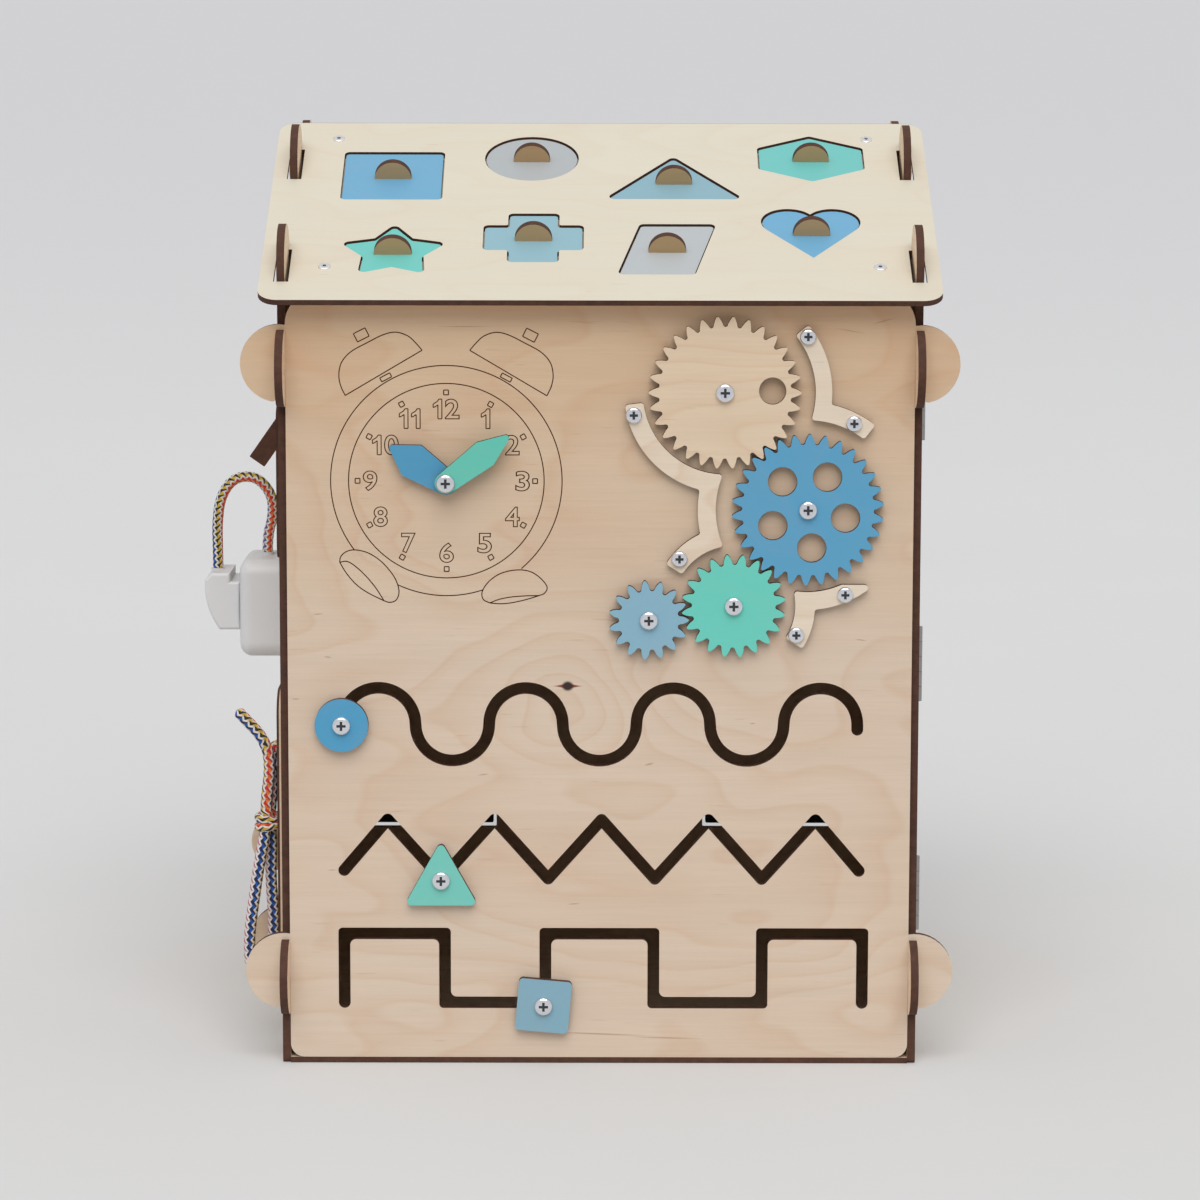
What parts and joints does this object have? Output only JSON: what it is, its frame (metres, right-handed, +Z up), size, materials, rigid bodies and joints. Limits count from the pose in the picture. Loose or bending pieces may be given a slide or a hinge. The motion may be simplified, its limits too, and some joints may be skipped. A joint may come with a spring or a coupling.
{
  "type": "wooden busy board house",
  "caption": "House-shaped wooden busy box with spinning gears, clock hands, bead-maze sliders, lift-out shape puzzle roof, plug, lever, laces and doors.",
  "frame": {"origin": "centre of the floor panel, on its underside", "axes": "+X to the right seen from the front, +Y from the front wall to the back, +Z up"},
  "size_m": [0.3874, 0.359, 0.4733],
  "materials": {
    "birch_ply": "clear lacquer on birch plywood, laser-cut edges",
    "zinc": "bright zinc plate",
    "dark_board": "black",
    "grey_plastic": "satin moulded plastic",
    "braided_cord": "braided, white with coloured strands",
    "paint_blue": "water-based paint, grain shows",
    "paint_deep_blue": "water-based paint, grain shows",
    "paint_teal": "water-based paint, grain shows",
    "paint_deep_teal": "water-based paint, grain shows",
    "paint_aqua": "water-based paint, grain shows",
    "paint_mint": "water-based paint, grain shows",
    "paint_steel_blue": "water-based paint, grain shows",
    "paint_sky": "water-based paint, grain shows",
    "paint_mist": "water-based paint, grain shows",
    "paint_aqua_pale": "water-based paint, grain shows",
    "paint_pale_teal": "water-based paint, grain shows"
  },
  "bodies": {
    "house": {"front_wall": "birch_ply", "left_wall": "birch_ply", "right_wall": "birch_ply", "back_wall": "birch_ply", "floor_panel": "birch_ply", "roof_front": "birch_ply", "roof_back": "birch_ply", "sorter_tray": "birch_ply", "roof_rivets": "zinc", "guide_strip_left": "birch_ply", "guide_strip_top": "birch_ply", "guide_strip_low": "birch_ply", "strip_screws": "zinc", "pivot_bolts": "zinc", "socket_housing": "grey_plastic", "lever_plate": "birch_ply", "lacing_board": "birch_ply", "lace_long": "braided_cord", "lace_short": "braided_cord", "lace_ends": "braided_cord", "hinge_frame_leaves": "zinc", "window_boards": "dark_board"},
    "gear_plain": {"gear_plain": "birch_ply"},
    "gear_blue": {"gear_blue": "paint_blue"},
    "gear_teal": {"gear_teal": "paint_teal"},
    "gear_small": {"gear_small": "paint_aqua"},
    "hand_hour": {"clock_hour_hand": "paint_deep_blue"},
    "hand_minute": {"clock_minute_hand": "paint_deep_teal"},
    "slider_round": {"slider_round": "paint_blue", "slider_round_bolt": "zinc"},
    "slider_triangle": {"slider_triangle": "paint_mint", "slider_triangle_bolt": "zinc"},
    "slider_square": {"slider_square": "paint_steel_blue", "slider_square_bolt": "zinc"},
    "insert_square": {"insert_square": "paint_sky", "knob_square": "birch_ply"},
    "insert_circle": {"insert_circle": "paint_mist", "knob_circle": "birch_ply"},
    "insert_triangle": {"insert_triangle": "paint_sky", "knob_triangle": "birch_ply"},
    "insert_hexagon": {"insert_hexagon": "paint_aqua_pale", "knob_hexagon": "birch_ply"},
    "insert_star": {"insert_star": "paint_aqua_pale", "knob_star": "birch_ply"},
    "insert_plus": {"insert_plus": "paint_pale_teal", "knob_plus": "birch_ply"},
    "insert_rhomb": {"insert_rhomb": "paint_mist", "knob_rhomb": "birch_ply"},
    "insert_heart": {"insert_heart": "paint_sky", "knob_heart": "birch_ply"},
    "plug": {"plug_body": "grey_plastic", "plug_pins": "zinc", "plug_cord": "braided_cord"},
    "lever": {"lever": "birch_ply"},
    "door_bottom": {"door_bottom": "birch_ply", "hinge_leaf_bottom": "zinc"},
    "door_middle": {"door_middle": "birch_ply", "hinge_leaf_middle": "zinc"},
    "door_top": {"door_top": "birch_ply", "hinge_leaf_top": "zinc"}
  },
  "joints": [
    {"name": "gear_plain_spin", "type": "hinge", "parent": "house", "child": "gear_plain", "pos_m": [0.0623, -0.163, 0.344], "axis": [0, -1, 0], "continuous": true},
    {"name": "gear_blue_spin", "type": "hinge", "parent": "house", "child": "gear_blue", "pos_m": [0.10409, -0.163, 0.28519], "axis": [0, -1, 0], "continuous": true},
    {"name": "gear_teal_spin", "type": "hinge", "parent": "house", "child": "gear_teal", "pos_m": [0.06721, -0.163, 0.2366], "axis": [0, -1, 0], "continuous": true},
    {"name": "gear_small_spin", "type": "hinge", "parent": "house", "child": "gear_small", "pos_m": [0.02463, -0.163, 0.22932], "axis": [0, -1, 0], "continuous": true},
    {"name": "hour_hand_turn", "type": "hinge", "parent": "house", "child": "hand_hour", "pos_m": [-0.0771, -0.163, 0.2988], "axis": [0, -1, 0], "continuous": true},
    {"name": "minute_hand_turn", "type": "hinge", "parent": "house", "child": "hand_minute", "pos_m": [-0.0771, -0.163, 0.2988], "axis": [0, -1, 0], "continuous": true},
    {"name": "slider_round_swing", "type": "hinge", "parent": "house", "child": "slider_round", "pos_m": [-0.1116, -0.163, 0.1754], "axis": [0, 1, 0], "range_deg": [0, 180]},
    {"name": "slider_triangle_slide", "type": "slide", "parent": "house", "child": "slider_triangle", "axis": [0.6642, 0, 0.7475], "range_m": [0, 0.0408]},
    {"name": "slider_square_slide", "type": "slide", "parent": "house", "child": "slider_square", "axis": [1, 0, 0], "range_m": [-0.0511, 0]},
    {"name": "insert_square_lift", "type": "slide", "parent": "house", "child": "insert_square", "axis": [0, -0.4305, 0.9026], "range_m": [0, 0.03]},
    {"name": "insert_circle_lift", "type": "slide", "parent": "house", "child": "insert_circle", "axis": [0, -0.4305, 0.9026], "range_m": [0, 0.03]},
    {"name": "insert_triangle_lift", "type": "slide", "parent": "house", "child": "insert_triangle", "axis": [0, -0.4305, 0.9026], "range_m": [0, 0.03]},
    {"name": "insert_hexagon_lift", "type": "slide", "parent": "house", "child": "insert_hexagon", "axis": [0, -0.4305, 0.9026], "range_m": [0, 0.03]},
    {"name": "insert_star_lift", "type": "slide", "parent": "house", "child": "insert_star", "axis": [0, -0.4305, 0.9026], "range_m": [0, 0.03]},
    {"name": "insert_plus_lift", "type": "slide", "parent": "house", "child": "insert_plus", "axis": [0, -0.4305, 0.9026], "range_m": [0, 0.03]},
    {"name": "insert_rhomb_lift", "type": "slide", "parent": "house", "child": "insert_rhomb", "axis": [0, -0.4305, 0.9026], "range_m": [0, 0.03]},
    {"name": "insert_heart_lift", "type": "slide", "parent": "house", "child": "insert_heart", "axis": [0, -0.4305, 0.9026], "range_m": [0, 0.03]},
    {"name": "plug_pull", "type": "slide", "parent": "house", "child": "plug", "axis": [-1, 0, 0], "range_m": [0, 0.03]},
    {"name": "lever_swing", "type": "hinge", "parent": "house", "child": "lever", "pos_m": [-0.1634, -0.08, 0.3213], "axis": [0, 1, 0], "range_deg": [0, 55]},
    {"name": "door_bottom_hinge", "type": "hinge", "parent": "house", "child": "door_bottom", "pos_m": [0.1637, -0.117, 0.08], "axis": [0, 0, -1], "range_deg": [0, 110]},
    {"name": "door_middle_hinge", "type": "hinge", "parent": "house", "child": "door_middle", "pos_m": [0.1637, -0.117, 0.2001], "axis": [0, 0, -1], "range_deg": [0, 110]},
    {"name": "door_top_hinge", "type": "hinge", "parent": "house", "child": "door_top", "pos_m": [0.1637, -0.117, 0.335], "axis": [0, 0, -1], "range_deg": [0, 110]}
  ],
  "couplings": [
    {"joint": "gear_blue_spin", "follows": "gear_plain_spin", "ratio": -1},
    {"joint": "gear_teal_spin", "follows": "gear_plain_spin", "ratio": 1.5},
    {"joint": "gear_small_spin", "follows": "gear_plain_spin", "ratio": -2}
  ]
}
